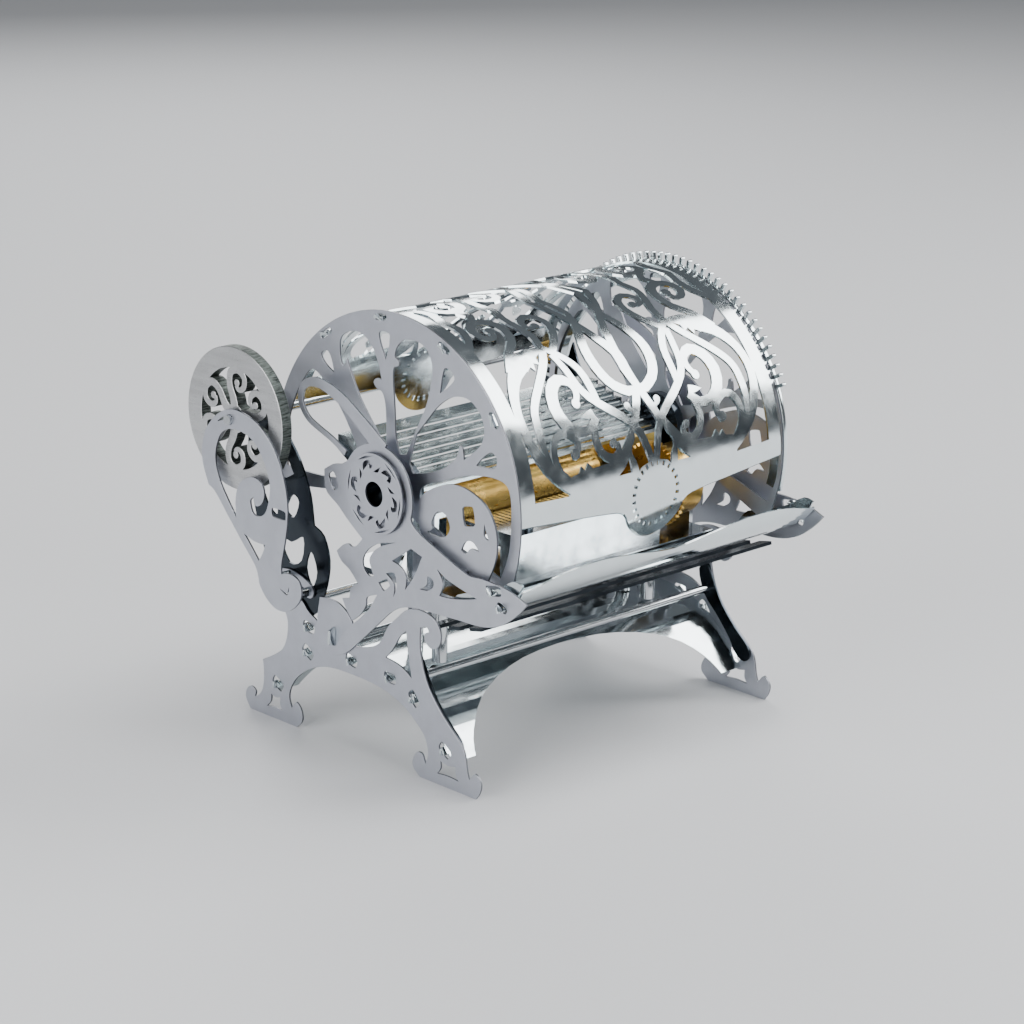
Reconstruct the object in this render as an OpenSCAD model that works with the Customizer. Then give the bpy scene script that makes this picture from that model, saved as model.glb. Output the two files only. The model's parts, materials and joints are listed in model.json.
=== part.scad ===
// Cylinder music box in an openwork sheet-steel barrel casket.
// X runs along the barrel axis, -Y is the front (tray side), +Z is up.
// The origin is on the ground, under the middle of the whole box.

/* [Barrel] */
// Radius of the two end discs that close the barrel
disc_r = 45; // [44:0.1:46]
// Height of the barrel axis above the ground
axis_z = 70.6; // [69:0.1:72]
// Distance between the mid planes of the two side frames
frame_gap = 106.2; // [105:0.1:107]
// Outside radius of the rolled cover
cover_r = 43.6; // [43:0.1:44]
// Radius over the teeth of the ring gear
ring_tip_r = 45.5; // [45:0.1:46.5]

/* [Sheet] */
// Thickness of the flat sheet plates
sheet = 0.6; // [0.4:0.05:0.8]
// Thickness of the rolled cover
cover_sheet = 0.6; // [0.4:0.05:0.8]

/* [Flywheel] */
// Outside radius of the flywheel
fly_r = 18.6; // [17:0.1:19]
// Thickness of the flywheel
fly_t = 3.2; // [2.5:0.1:3.6]
// Distance of the flywheel axis behind the barrel axis
fly_y = 45.8; // [45:0.1:47]
// Height of the flywheel axis above the ground
fly_z = 81.5; // [80:0.1:83]

/* [Movement] */
// Radius of the pinned music cylinder
music_r = 9; // [8:0.1:9.5]
// Length of the pinned music cylinder
music_len = 52; // [48:0.5:54]
// Number of teeth cut in the comb
comb_teeth = 28; // [20:1:32]

/* [Hidden] */
$fn = 64;
inner = frame_gap / 2;
teeth_per_turn = 107;
pinion_pins = 7;
shaft_reach = sqrt(fly_y * fly_y + (fly_z - axis_z) * (fly_z - axis_z));
tooth_module = 2 * shaft_reach / (teeth_per_turn + pinion_pins);
ring_pitch_r = tooth_module * teeth_per_turn / 2;
pin_circle_r = tooth_module * pinion_pins / 2;
fly_angle = atan2(fly_z - axis_z, fly_y);

// Steel, mirror sheet, dark blued parts, brass and the comb.
satin = [0.72, 0.73, 0.77];
mirror_steel = [0.80, 0.83, 0.85];
ground_steel = [0.66, 0.67, 0.68];
brass = [0.80, 0.62, 0.30];
dark_steel = [0.25, 0.27, 0.30];

// One point of a smooth curve between b and c, with a and d as its neighbours.
function curve(a, b, c, d, t) =
    0.5 * (2 * b + (c - a) * t + (2 * a - 5 * b + 4 * c - d) * t * t + (3 * b - a - 3 * c + d) * t * t * t);

function xy(p) = [p[0], p[1]];

// Closed smooth outline through points [y, z]; a third value of 1 makes that point a sharp corner.
function smooth(p, n = 3) = let (m = len(p)) [
    for (i = [0 : m - 1])
        let (b = p[i], c = p[(i + 1) % m])
        let (a = b[2] == 1 ? b : p[(i + m - 1) % m], d = c[2] == 1 ? c : p[(i + 2) % m])
        for (k = [0 : n - 1]) curve(xy(a), xy(b), xy(c), xy(d), k / n)
];

// Open smooth path through points [y, z, width].
function flow(p, n = 3) = let (m = len(p)) concat(
    [for (i = [0 : m - 2], k = [0 : n - 1])
        curve(p[max(i - 1, 0)], p[i], p[i + 1], p[min(i + 2, m - 1)], k / n)],
    [p[m - 1]]
);

// Outline of a ribbon whose width follows the third value of each path point.
function ribbon_outline(q) = let (
    m = len(q),
    along = [for (i = [0 : m - 1]) xy(q[min(i + 1, m - 1)]) - xy(q[max(i - 1, 0)])],
    side = [for (v = along) [-v[1], v[0]] / norm(v) / 2]
) concat(
    [for (i = [0 : m - 1]) xy(q[i]) + side[i] * q[i][2]],
    [for (i = [m - 1 : -1 : 0]) xy(q[i]) - side[i] * q[i][2]]
);

module blob(p) { polygon(smooth(p)); }

module ribbon(p) { polygon(ribbon_outline(flow(p))); }

module dot(p, r) { translate(p) circle(r, $fn = 20); }

// Joins the pieces of a flat drawing and closes hairline gaps between them.
module soften(r = 0.05) { offset(delta = -r) offset(delta = r) children(); }

// A flat plate standing across the barrel axis, drawn in Y and Z, its outer face at x.
module plate(x, t = sheet) {
    translate([x, 0, 0])
        rotate([90, 0, 90])
            linear_extrude(t) children();
}

// A round bar along X between two stations.
module bar(y, z, x0, x1, r) {
    translate([x0, y, z])
        rotate([0, 90, 0])
            cylinder(h = x1 - x0, r = r);
}

module both_sides() {
    children();
    mirror([1, 0, 0]) children();
}

// Everything is drawn about the barrel axis, then set over the middle of the whole box.
barrel_x = 3.8;
barrel_y = -5.7;

module centred() {
    translate([barrel_x, barrel_y, 0]) children();
}

// Openings in which the cross sheets' tabs are twisted: [y, z, turn].
tab_places = [
    [27, 21.8, 35], [26.6, 28.6, 10], [38.8, 10, 30], [10.2, 23.9, 15],
    [-4.3, 23.2, 5], [-13.2, 20.1, 50], [-24.6, 9.6, 35]
];

module tab_window(p) {
    translate([p[0], p[1]])
        rotate(p[2])
            soften_square(4.4, 2.6);
}

module soften_square(w, h) {
    polygon(smooth([[w / 2, h / 2 - 0.6], [w / 2 - 0.6, h / 2], [0.6 - w / 2, h / 2], [-w / 2, 0.4],
        [-w / 2, -h / 2 + 0.6], [0.6 - w / 2, -h / 2], [w / 2 - 0.6, -h / 2], [w / 2, -0.4]], 2));
}

// Side frame: two scroll feet, the low arch, a round lobe, a stem and its hooks.
module frame_drawing() {
    difference() {
        soften() {
            blob([
                [-17.6, 4, 1], [-18.6, 7.1], [-17.4, 11], [-14.4, 13.9], [-10.1, 16.8], [-5.1, 18.7],
                [0, 19.8], [9.1, 20.3], [19.1, 19.8], [26.3, 17.3], [31.3, 13.6], [33.8, 10],
                [34.4, 7.1], [33.4, 4.6, 1], [31.6, 6.8], [29.5, 4.8], [29.4, 2], [31.4, 0, 1],
                [49.9, 0, 1], [51.8, 2.6], [51.4, 5.2], [49.6, 6.4], [47.8, 5.4], [48.2, 3.9, 1],
                [45.8, 5.4], [44.6, 8.6], [44.5, 12.5], [44.9, 15.1, 1], [41.3, 17], [37.4, 19.6],
                [35.6, 22.5], [34.9, 25.7], [35, 28.6], [36.6, 31.5], [39.4, 34.5], [40.2, 38],
                [38.6, 41.2], [34.4, 42.4], [29.6, 41.7], [27, 40.2, 1], [28.4, 38.8, 1], [32, 39.6],
                [34.6, 38.4], [33, 36.4], [29.2, 35], [27, 32.9], [23.4, 31.1, 1], [23.1, 33.6],
                [22.3, 37.9, 1], [19.1, 38.3], [15.6, 38.1], [12.7, 36.8], [10.6, 35], [9.7, 33.4, 1],
                [11.5, 29.5, 1], [8.4, 28.2], [2.7, 29.6], [-0.9, 32.1], [-3.4, 36.4], [-6.6, 39.6],
                [-10.1, 42.6], [-14.5, 43.8], [-19.4, 43.2], [-22.4, 40.4], [-22.3, 36.6],
                [-19.6, 34.8], [-17, 36.2], [-17, 38.2], [-18.4, 38.9, 1], [-17.6, 40], [-15.2, 39.4, 1],
                [-15.1, 34.3], [-16.2, 29.3], [-18.7, 24.3], [-23.7, 18.6], [-30.1, 13.2],
                [-31.9, 10.2], [-32.6, 6.4], [-33.4, 4.3, 1], [-35.5, 6.6], [-37.6, 4.6], [-37.3, 2.1],
                [-35.9, 0, 1], [-15.6, 0, 1], [-13.2, 1.9], [-13, 4], [-14.4, 6.3], [-16.4, 6.3]
            ]);
            dot([26.6, 38.3], 1.9);
            ribbon([[29.5, 40.8, 1.8], [27, 39.8, 1.6], [25.6, 38.4, 1.6]]);
        }
        blob([[-2.6, 28.2, 1], [-5.2, 30.9], [-7.8, 35], [-10.1, 37.1, 1], [-10.8, 33], [-12.3, 25.2, 1],
            [-8, 27.4]]);
        blob([[-23, 6.4, 1], [-25.8, 5.9], [-28.6, 6.4, 1], [-28.6, 4.4], [-29.7, 2.8, 1],
            [-25.8, 3.1], [-21.9, 2.8, 1], [-23.1, 4.4]]);
        blob([[41.6, 6.4, 1], [39.8, 5.9], [37.9, 6.4, 1], [38, 4.4], [37, 2.8, 1], [40.1, 3.1],
            [43.3, 2.6, 1], [41.7, 4.4]]);
        for (p = tab_places) tab_window(p);
    }
}

module left_frame() {
    color(satin) centred() plate(-inner - sheet / 2) frame_drawing();
}

module right_frame() {
    color(satin) centred() plate(inner - sheet / 2) frame_drawing();
}

// Lyre bracket laid on the frame: pivot ring, lens loop, long front arm and moustache scrolls.
module bracket_drawing() {
    difference() {
        soften() {
            ribbon([[12, 78.3, 1.6], [17, 80.8, 1.5], [22, 82.6, 1.5], [26.4, 84.6, 1.6], [29, 88.4, 1.8],
                [28, 92.4, 2], [24, 94.3, 2.4], [19, 93.8, 2.8], [13.6, 91.8, 3.2], [8.6, 88.8, 3.6],
                [3.6, 85.6, 4], [-2, 82, 4]]);
            ribbon([[10, 91, 1.4], [4.6, 86, 2], [0, 80.6, 3]]);
            translate([0, axis_z]) circle(12.6);
            blob([
                [19.9, 72.5, 1], [19.3, 67.1], [14.9, 64.3], [11.3, 61.4], [5.6, 57.5, 1], [7.7, 55.2],
                [9.5, 54.5], [10.9, 55], [12.7, 54.3], [15.2, 52.1, 1], [13.4, 49.8], [10.2, 48.2],
                [7.2, 45.4, 1], [9.6, 43.8], [10.4, 40.7, 1], [13, 40, 1], [11.6, 37.6], [9.3, 35, 1],
                [6.4, 37.2], [4.2, 40.2], [3.8, 42.6], [0, 44.2, 1], [2.6, 40, 1], [7.2, 35.6],
                [10.4, 33.2], [14.4, 28.4], [17.6, 23.6, 1], [12, 25.4], [4.9, 31.6], [-0.1, 36.2],
                [-5.1, 40.8], [-9.4, 43.2], [-14.4, 44.3], [-20.1, 44.6], [-29.4, 45.1], [-38, 45.5],
                [-44.6, 47.6], [-50, 51.6], [-53, 54.8, 1], [-47.6, 56.8], [-42, 57.4], [-37, 57.6],
                [-33, 57.3], [-27.3, 59], [-20, 61.8], [-13.7, 64.5], [-11.8, 67.4], [-11.6, 72],
                [-4, 78], [8, 78], [13, 75.4], [16.4, 74.6]
            ]);
        }
        translate([0, axis_z]) circle(4.25);
        // crescent, window and leaf cuts of the moustache scrolls
        blob([[-7, 59.5, 1], [0, 57.5], [4.4, 54.2], [5.4, 50.8], [3.2, 48.4], [1.2, 48.7, 1],
            [2.2, 50.6], [2.9, 53], [0.6, 55.9], [-3, 58]]);
        blob([[-5.4, 54.4, 1], [-12.3, 59.2, 1], [-16.4, 58.1, 1], [-13.6, 52.4], [-10.3, 48, 1],
            [-10.6, 51.4], [-8.6, 53.6]]);
        blob([[-21.6, 56.4, 1], [-25.9, 54.3], [-35.9, 52.1, 1], [-28, 50.1], [-22.6, 49.6, 1],
            [-23.9, 53]]);
        blob([[-18.4, 53.6], [-20.4, 53], [-20.4, 51.2], [-18.2, 49.8, 1], [-15.6, 49.6, 1], [-18, 51.2]]);
        blob([[-3.2, 50.6, 1], [-6.4, 51.4], [-7.2, 48], [-6, 45, 1], [-6.2, 48.4]]);
        blob([[-0.4, 47.6, 1], [-3.6, 49.4, 1], [-4.8, 47.8, 1], [-2.4, 45.8]]);
        translate([-41.6, 55.6]) rotate(-8) soften_square(5.2, 2.4);
        translate([-44.6, 52]) rotate(20) soften_square(3.6, 1.8);
        tab_window([16.4, 70.2, 60]);
    }
}

module left_bracket() {
    color(satin) centred() plate(-inner - 3 * sheet / 2) bracket_drawing();
}

module right_bracket() {
    color(satin) centred() mirror([1, 0, 0]) plate(-inner - 3 * sheet / 2) bracket_drawing();
}

// Pierced rosette that caps each pivot: two rings of small leaf cuts, no lettering.
module rosette_drawing() {
    difference() {
        translate([0, axis_z]) circle(10.4);
        translate([0, axis_z]) {
            for (i = [0 : 5]) rotate(i * 60 + 12) {
                blob([[6.2, -2.2, 1], [8.2, -1.6], [8.6, 0.6], [7, 1.6], [6.4, 0.4, 1], [7.6, 0.2]]);
                blob([[5.6, 1.6, 1], [5.2, 3.2], [6.4, 4.4, 1], [6, 3]]);
                blob([[9.1, -3.2, 1], [9.7, -0.4], [9.4, 2.6, 1], [9.2, -0.4]]);
            }
        }
    }
}

module rosette() {
    difference() {
        plate(-inner - 0.9 - 2 * sheet) rosette_drawing();
        bar(0, axis_z, -inner - 5, -inner, 3.2);
    }
}

module left_rosette() { color(satin) centred() rosette(); }

module right_rosette() { color(satin) centred() mirror([1, 0, 0]) rosette(); }

// Hollow stub on which each end of the barrel turns, with a flange outside the bracket.
module bush() {
    difference() {
        union() {
            bar(0, axis_z, -inner - 0.9, -inner + 8.4, 4.2);
            bar(0, axis_z, -inner - 0.9 - sheet, -inner - 0.9, 6);
        }
        bar(0, axis_z, -inner - 3, -inner + 9, 3.2);
    }
}

module pivot_bushes() { color(dark_steel) centred() both_sides() bush(); }

// Comma-shaped cheek standing just inside each front arm, on two short spacers.
module cheek() {
    union() {
        plate(-inner + 1.2) difference() {
            blob([[-12.6, 70], [-14, 72.9], [-18, 75.7], [-24.2, 78], [-30.4, 77.8], [-36, 75.5],
                [-39.4, 71.3], [-40.4, 66.3], [-39.6, 61.3], [-36.6, 55, 1], [-30, 55.6], [-22, 58.2],
                [-14.2, 61.6, 1], [-12.8, 66]]);
            blob([[-17.4, 67], [-19.4, 70], [-22.4, 69.8], [-24, 67], [-22.6, 64.4], [-19, 63.6],
                [-15.8, 64, 1], [-17.6, 65.2]]);
            blob([[-28, 62.2, 1], [-29.4, 64.6], [-32, 65.2], [-34.4, 63.2, 1], [-31.4, 63.4], [-29.6, 61.6]]);
            blob([[-36, 70.8, 1], [-36.8, 68.6], [-37.6, 66.8, 1], [-35.8, 67.6]]);
            translate([-30.5, 71.3]) rotate(80) soften_square(5, 4);
        }
        bar(-30, 57.2, -inner - 0.3, -inner + 1.3, 0.8);
        bar(-17.5, 61.2, -inner - 0.3, -inner + 1.3, 0.8);
    }
}

module cheek_plates() { color(satin) centred() both_sides() cheek(); }

// Outer leaf-shaped bracket that carries the outboard end of the flywheel arbor.
module leaf_drawing() {
    difference() {
        blob([
            [43.3, 84.6], [47.8, 83.6], [52.2, 80.7], [55.6, 76.3], [56.8, 71.3], [56.4, 67.3],
            [54.2, 62.4, 1], [51.7, 61.2], [46.7, 56], [41.1, 50.2], [36.1, 45.2], [34.8, 42.6],
            [34, 40], [31, 36.9], [27.2, 35.3], [23.3, 35.9], [20, 38.2], [18.1, 41.2], [18.6, 44.4],
            [20.6, 45.8], [23.4, 46], [25.8, 45.2, 1], [25.8, 48], [24.5, 53.4], [23.6, 58.4],
            [23.3, 62.3], [23.9, 67.3], [25.8, 72.9], [28.9, 77.9], [32.8, 81.4], [37, 83.6]
        ]);
        blob([
            [43.3, 79.4], [46.7, 78.8], [49.5, 76.8], [51.4, 72.3], [51.2, 68], [48.9, 63], [43.3, 56, 1],
            [43.6, 60.2], [42.8, 64], [40.6, 66.8], [36.7, 68.4], [33.3, 67.3], [32.3, 64.5],
            [33.4, 61.9], [35.6, 61], [36.5, 63.1, 1], [37.8, 61.8], [37, 59.1], [35, 58.4],
            [32.2, 59.6], [30.6, 63], [30, 67.3], [30.8, 70.4], [32.4, 73.6], [35.2, 77], [39, 79]
        ]);
        blob([[40.3, 52.6, 1], [36, 51.4], [32, 51.5, 1], [33, 49], [34.6, 46.6, 1], [37.4, 49.6]]);
        ribbon([[50.4, 80.2, 0.2], [47.8, 81.6, 0.7], [44.6, 82.6, 0.2]]);
        ribbon([[26.6, 41.4, 0.1], [23.6, 40.4, 0.5], [22.8, 42.4, 0.1]]);
        translate([26.7, 60.9]) soften_square(5.4, 2.4);
    }
}

module leaf_bracket() {
    color(satin) centred() difference() {
        plate(-inner - 10.2) leaf_drawing();
        bar(fly_y, fly_z, -inner - 11, -inner - 9, 1.35);
    }
}

// Dark plates inside both frames that reach back to the flywheel arbor.
module bridge_drawing() {
    difference() {
        blob([[37.6, 31.6, 1], [40.4, 36], [45, 46], [49, 58], [50.8, 70], [50.4, 80], [48.4, 85.2],
            [44.4, 85.8], [41.4, 83.2], [38, 84, 1], [35.4, 78], [30.6, 72], [26.8, 64],
            [25.4, 56, 1], [21.6, 54], [19.4, 48], [20.4, 41], [23.4, 33.6, 1], [28, 30.4], [33, 29.6]]);
        blob([[33, 68, 1], [37, 74], [41, 77.6, 1], [42, 72], [38, 66]]);
        blob([[31, 61], [33.6, 62.4], [36, 58], [33, 56.4]]);
        blob([[40.4, 66], [44.6, 72], [46.6, 66], [43.6, 58], [39.4, 56]]);
        blob([[29.4, 52], [34, 49.6], [38.6, 50.6], [35, 44], [30, 45.6]]);
        blob([[24, 44], [26.4, 49], [28.4, 44], [26, 39.4]]);
    }
}

module bridge() {
    difference() {
        plate(-inner + sheet / 2) bridge_drawing();
        rod_holes();
        bar(fly_y, fly_z, -inner, -inner + 2, 1.35);
    }
}

module rear_bridge() { color(dark_steel) centred() both_sides() bridge(); }

// Two turned pillars that hold the leaf bracket off the left frame.
module pillars() {
    color(ground_steel) centred() {
        bar(34, 41, -inner - 9.6, -inner - sheet / 2, 1.2);
        bar(26.7, 38.2, -inner - 9.6, -inner - sheet / 2, 1.2);
    }
}

// Arched underside sheet between the frames, its front and back cut away between the legs.
base_path = [[-27, 6.8, 0.6], [-24.6, 9.6, 0.6], [-19.5, 15.4, 0.6], [-13.2, 20.1, 0.6], [-4.3, 23.2, 0.6],
    [3, 24.1, 0.6], [10.2, 23.9, 0.6], [19, 23.4, 0.6], [27, 21.6, 0.6], [33.6, 16.6, 0.6], [38.8, 10, 0.6],
    [40.4, 7.4, 0.6]];

module base_sheet() {
    color(mirror_steel) centred() difference() {
        translate([sheet / 2 - inner, 0, 0])
            rotate([90, 0, 90])
                linear_extrude(frame_gap - sheet) ribbon(base_path);
        translate([0, 60, 0])
            rotate([90, 0, 0])
                linear_extrude(120)
                    blob([[-47, -2, 1], [-45.6, 6], [-42, 12], [-34, 17.4], [-20, 20.6], [0, 21.6], [20, 20.6],
                        [34, 17.4], [42, 12], [45.6, 6], [47, -2, 1]]);
    }
}

// Front tray: a mirror-polished trough that ends in a lip with two lobes.
tray_path = [[-23.4, 43.2, 0.6], [-27, 44, 0.6], [-31, 44.8, 0.6], [-38, 46.4, 0.6], [-44, 49.2, 0.6],
    [-48.4, 52.6, 0.6], [-51, 56.2, 0.6], [-52, 59.6, 0.6]];

module tray() {
    color(mirror_steel) centred() difference() {
        translate([sheet / 2 - inner, 0, 0])
            rotate([90, 0, 90])
                linear_extrude(frame_gap - sheet) ribbon([for (p = tray_path) [p[0], p[1] + 2, p[2]]]);
        translate([0, -30, 0])
            rotate([90, 0, 0])
                linear_extrude(40)
                    blob([[-60, 70, 1], [-60, 57, 1], [-50, 57.4], [-40, 59.6], [-26, 60.2], [-12, 58.6],
                        [0, 57.2], [12, 58.6], [26, 60.2], [40, 59.6], [50, 57.4], [60, 57, 1], [60, 70, 1]]);
    }
}

// Folded end cheeks that close the tray against both arms.
module tray_ends() {
    color(mirror_steel) centred() both_sides()
        plate(-inner + sheet / 2) blob([[-24, 46.2, 1], [-31, 47.6], [-38, 49.2], [-43.8, 51.9], [-48, 55.2],
            [-50.4, 58.6, 1], [-47, 59], [-42, 56], [-36, 53.4], [-28, 51]]);
}

// Dark rail under the tray, with three long strips.
module tray_rail() {
    color(dark_steel) centred() for (i = [0 : 2])
        translate([0, -19.5 - 7.4 * i, 40.6 + 1.5 * i])
            rotate([-12, 0, 0])
                cube([frame_gap - sheet, 4.2, 0.9], center = true);
}

// Stepped deck of long slats over the movement.
slats = 9;

module key_deck() {
    color(mirror_steel) centred() for (i = [0 : slats - 1])
        translate([-44, 20 - 3 * i, 77.6 - i])
            cube([88, i == 0 ? 6 : 2.4, 0.9]);
}

// Two stepped end walls that carry the slats on the bedplate.
module deck_ends() {
    color(mirror_steel) centred() both_sides()
        translate([-44, 0, 0])
            rotate([90, 0, 90])
                linear_extrude(1)
                    polygon([[26, 77.6], [26, 74.4], [22, 72], [14, 68], [8, 46.2], [4, 46.2], [-4, 66],
                            [-4, 69.6], [-1, 69.6], [-1, 70.6], [2, 70.6], [2, 71.6], [5, 71.6], [5, 72.6],
                            [8, 72.6], [8, 73.6], [11, 73.6], [11, 74.6], [14, 74.6], [14, 75.6], [17, 75.6],
                            [17, 76.6], [20, 76.6], [20, 77.6]]);
}

// Round cross rods that tie the two side frames together.
rod_places = [[16.6, 27], [30.6, 27.4], [-15, 26.4], [33, 33.2]];

module rod_holes() {
    for (p = rod_places) bar(p[0], p[1], -inner - 1, inner + 1, 1.15);
}

module cross_rods() {
    color(ground_steel) centred() for (p = rod_places)
        bar(p[0], p[1], -inner + sheet / 2, inner - sheet / 2, 1.1);
}

// Twisted tabs that lock the sheets in the frames' windows, and one long straight tab.
module lock_tabs() {
    color(mirror_steel) centred() both_sides() {
        for (p = tab_places)
            translate([-inner - 1.15, p[0], p[1]])
                rotate([p[2] + 55, 0, 0])
                    cube([2.8, 2.0, 0.5], center = true);
        translate([-inner - 1.35, 16.6, 28.8])
            cube([2.1, 1, 5.2], center = true);
        translate([-inner - 1.9, -41.6, 55.6])
            rotate([25, 0, 0])
                cube([2, 3, 0.5], center = true);
        translate([-inner - 1.9, -44.6, 52])
            rotate([50, 0, 0])
                cube([2, 2.2, 0.5], center = true);
    }
}

// Round-ended mirror tongues against the inner face of each front leg.
module leg_linings() {
    color(dark_steel) centred() both_sides() difference() {
        plate(-inner + sheet / 2, 0.5)
            blob([[-14.6, 33, 1], [-11.4, 31], [-13.6, 24.4], [-18, 20], [-23, 14.4], [-25.4, 10.6], [-28.6, 9],
                [-30.6, 10.8], [-29.6, 13.6], [-25.2, 17.4], [-20, 23], [-16.6, 29]]);
        rod_holes();
    }
}

deck_z = 44.6;
cyl_y = 8;
spring_y = -11.25;
works_z = 58.4;
plate_t = 1.6;

// Brass bedplate of the movement.
module bedplate() {
    color(brass) centred() translate([-45, -22.4, deck_z]) cube([90, 44.4, plate_t]);
}

// Four turned pillars that hold the bedplate above the arched sheet.
module bedplate_pillars() {
    color(brass) centred() for (x = [-38, 38], y = [-6, 3])
        translate([x, y, 24.6]) cylinder(h = deck_z - 24.6, r = 2);
}

// Upright cocks that carry the cylinder, the spring barrel and the governor.
module movement_cocks() {
    color(brass) centred() difference() {
        union() {
            for (x = [-33, 29.6])
                translate([x, cyl_y - 4, deck_z + plate_t]) cube([1.6, 8, 16.4]);
            for (x = [28, 45.2 - 1.6])
                translate([x, spring_y - 4, deck_z + plate_t]) cube([1.2, 8, 16]);
            translate([-42, -8, deck_z + plate_t]) cube([8, 8, 1.6]);
            translate([-42, -8, deck_z + plate_t + 1.6]) cube([1.4, 8, 15.4]);
            translate([-42, -8, deck_z + plate_t + 17]) cube([8, 8, 1.4]);
        }
        bar(cyl_y, works_z, -40, 40, 1.55);
        bar(spring_y, works_z, 20, 50, 2.05);
        translate([-37.4, -4, deck_z + plate_t + 0.6]) cylinder(h = 30, r = 0.85);
    }
}

comb_pitch = (music_len - 2) / comb_teeth;

// Steel comb: tuned teeth cut from one plate, their tips just clear of the pins.
module comb() {
    color(ground_steel) centred() difference() {
        union() {
            translate([-26, -21, works_z - 1]) cube([music_len, 19.2, 1]);
            translate([-26, -21, works_z - 4]) cube([music_len, 9, 3]);
            translate([-26, -21, deck_z + plate_t]) cube([music_len, 6, works_z - 4 - deck_z - plate_t]);
        }
        for (i = [1 : comb_teeth])
            translate([-25.4 + i * comb_pitch - 0.3, -11.6 + 3.4 * i / comb_teeth, works_z - 2])
                cube([0.6, 12, 4]);
        for (x = [-20, 0, 20])
            translate([x, -18, works_z - 6]) cylinder(h = 8, r = 1.05);
    }
}

module comb_screws() {
    color(dark_steel) centred() for (x = [-20, 0, 20]) translate([x, -18, works_z]) difference() {
        union() {
            cylinder(h = 1.2, r = 1.9);
            translate([0, 0, -5]) cylinder(h = 5, r = 1);
        }
        translate([-2.5, -0.25, 0.7]) cube([5, 0.5, 1]);
    }
}

// Spur wheel outline with straight-flanked teeth.
module wheel_drawing(n, m, turn = 0) {
    polygon([for (i = [0 : n - 1], k = [0 : 3])
        let (a = turn + (i + [-0.3, -0.12, 0.12, 0.3][k]) * 360 / n)
        let (r = m * n / 2 + [-1.15, 0.85, 0.85, -1.15][k] * m)
        [r * cos(a), r * sin(a)]]);
}

module spur_wheel(y, z, x, t, n, m, turn, bore) {
    difference() {
        translate([x, y, z]) rotate([90, 0, 90]) linear_extrude(t) wheel_drawing(n, m, turn);
        bar(y, z, x - 1, x + t + 1, bore);
    }
}

// Pinned cylinder: the pins follow two interleaved rising lines around the barrel.
module music_cylinder() {
    color(brass) centred() difference() {
        union() {
            bar(cyl_y, works_z, -27, -27 + music_len, music_r);
            for (i = [1 : comb_teeth - 1], k = [0 : 1])
                translate([-25.4 + (i + 0.5) * comb_pitch, cyl_y, works_z])
                    rotate([i * 67 + k * 180 + 40, 0, 0])
                        translate([0, 0, music_r - 0.3]) cylinder(h = 0.9, r = 0.25, $fn = 16);
        }
        bar(cyl_y, works_z, -28, 30, 1.5);
    }
}

module cylinder_arbor() {
    color(ground_steel) centred() bar(cyl_y, works_z, -34, 35.4, 1.5);
}

module cylinder_wheel() {
    color(brass) centred() spur_wheel(cyl_y, works_z, 33, 1.6, 33, 0.5, 0, 1.5);
}

// Spring barrel with its great wheel.
module spring_barrel() {
    color(brass) centred() union() {
        spur_wheel(spring_y, works_z, 33, 1.6, 44, 0.5, 0, 2.05);
        difference() {
            bar(spring_y, works_z, 34.6, 42.6, 9.6);
            bar(spring_y, works_z, 30, 44, 2.05);
        }
    }
}

module winding_arbor() {
    color(ground_steel) centred() difference() {
        bar(spring_y, works_z, 27.4, 50.6, 2);
        for (a = [0 : 90 : 270])
            translate([48.6, spring_y, works_z])
                rotate([a, 0, 0]) translate([0, -3, 1.3]) cube([4, 6, 2]);
    }
}

// Governor: upright spindle with two thin fan wings.
module governor_fly() {
    color(dark_steel) centred() union() {
        translate([-37.4, -4, deck_z + plate_t + 0.7]) cylinder(h = 17.6, r = 0.8);
        translate([-37.4, -4, deck_z + plate_t + 3]) cylinder(h = 5, r = 1.5);
        translate([-37.4 - 3, -4 - 0.25, deck_z + plate_t + 10]) cube([6, 0.5, 5]);
    }
}

disc_x = inner - 5.1;
shell_half = disc_x - 0.1;
panel_span = 60.8;
panel_turn = 28 / cover_r * 180 / PI;

// Places a drawing of X against arc length on the rolled sheet, as seen square to the panel.
function rolled(p) = [p[0], cover_r * sin(p[1] / cover_r * 180 / PI - panel_turn)];

module rolled_blob(p) { polygon([for (q = smooth(p)) rolled(q)]); }

module rolled_ribbon(p) { polygon([for (q = ribbon_outline(flow(p, 2))) rolled(q)]); }

module rolled_dot(p, r) { polygon([for (a = [0 : 30 : 330]) rolled(p + r * [cos(a), sin(a)])]); }

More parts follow.
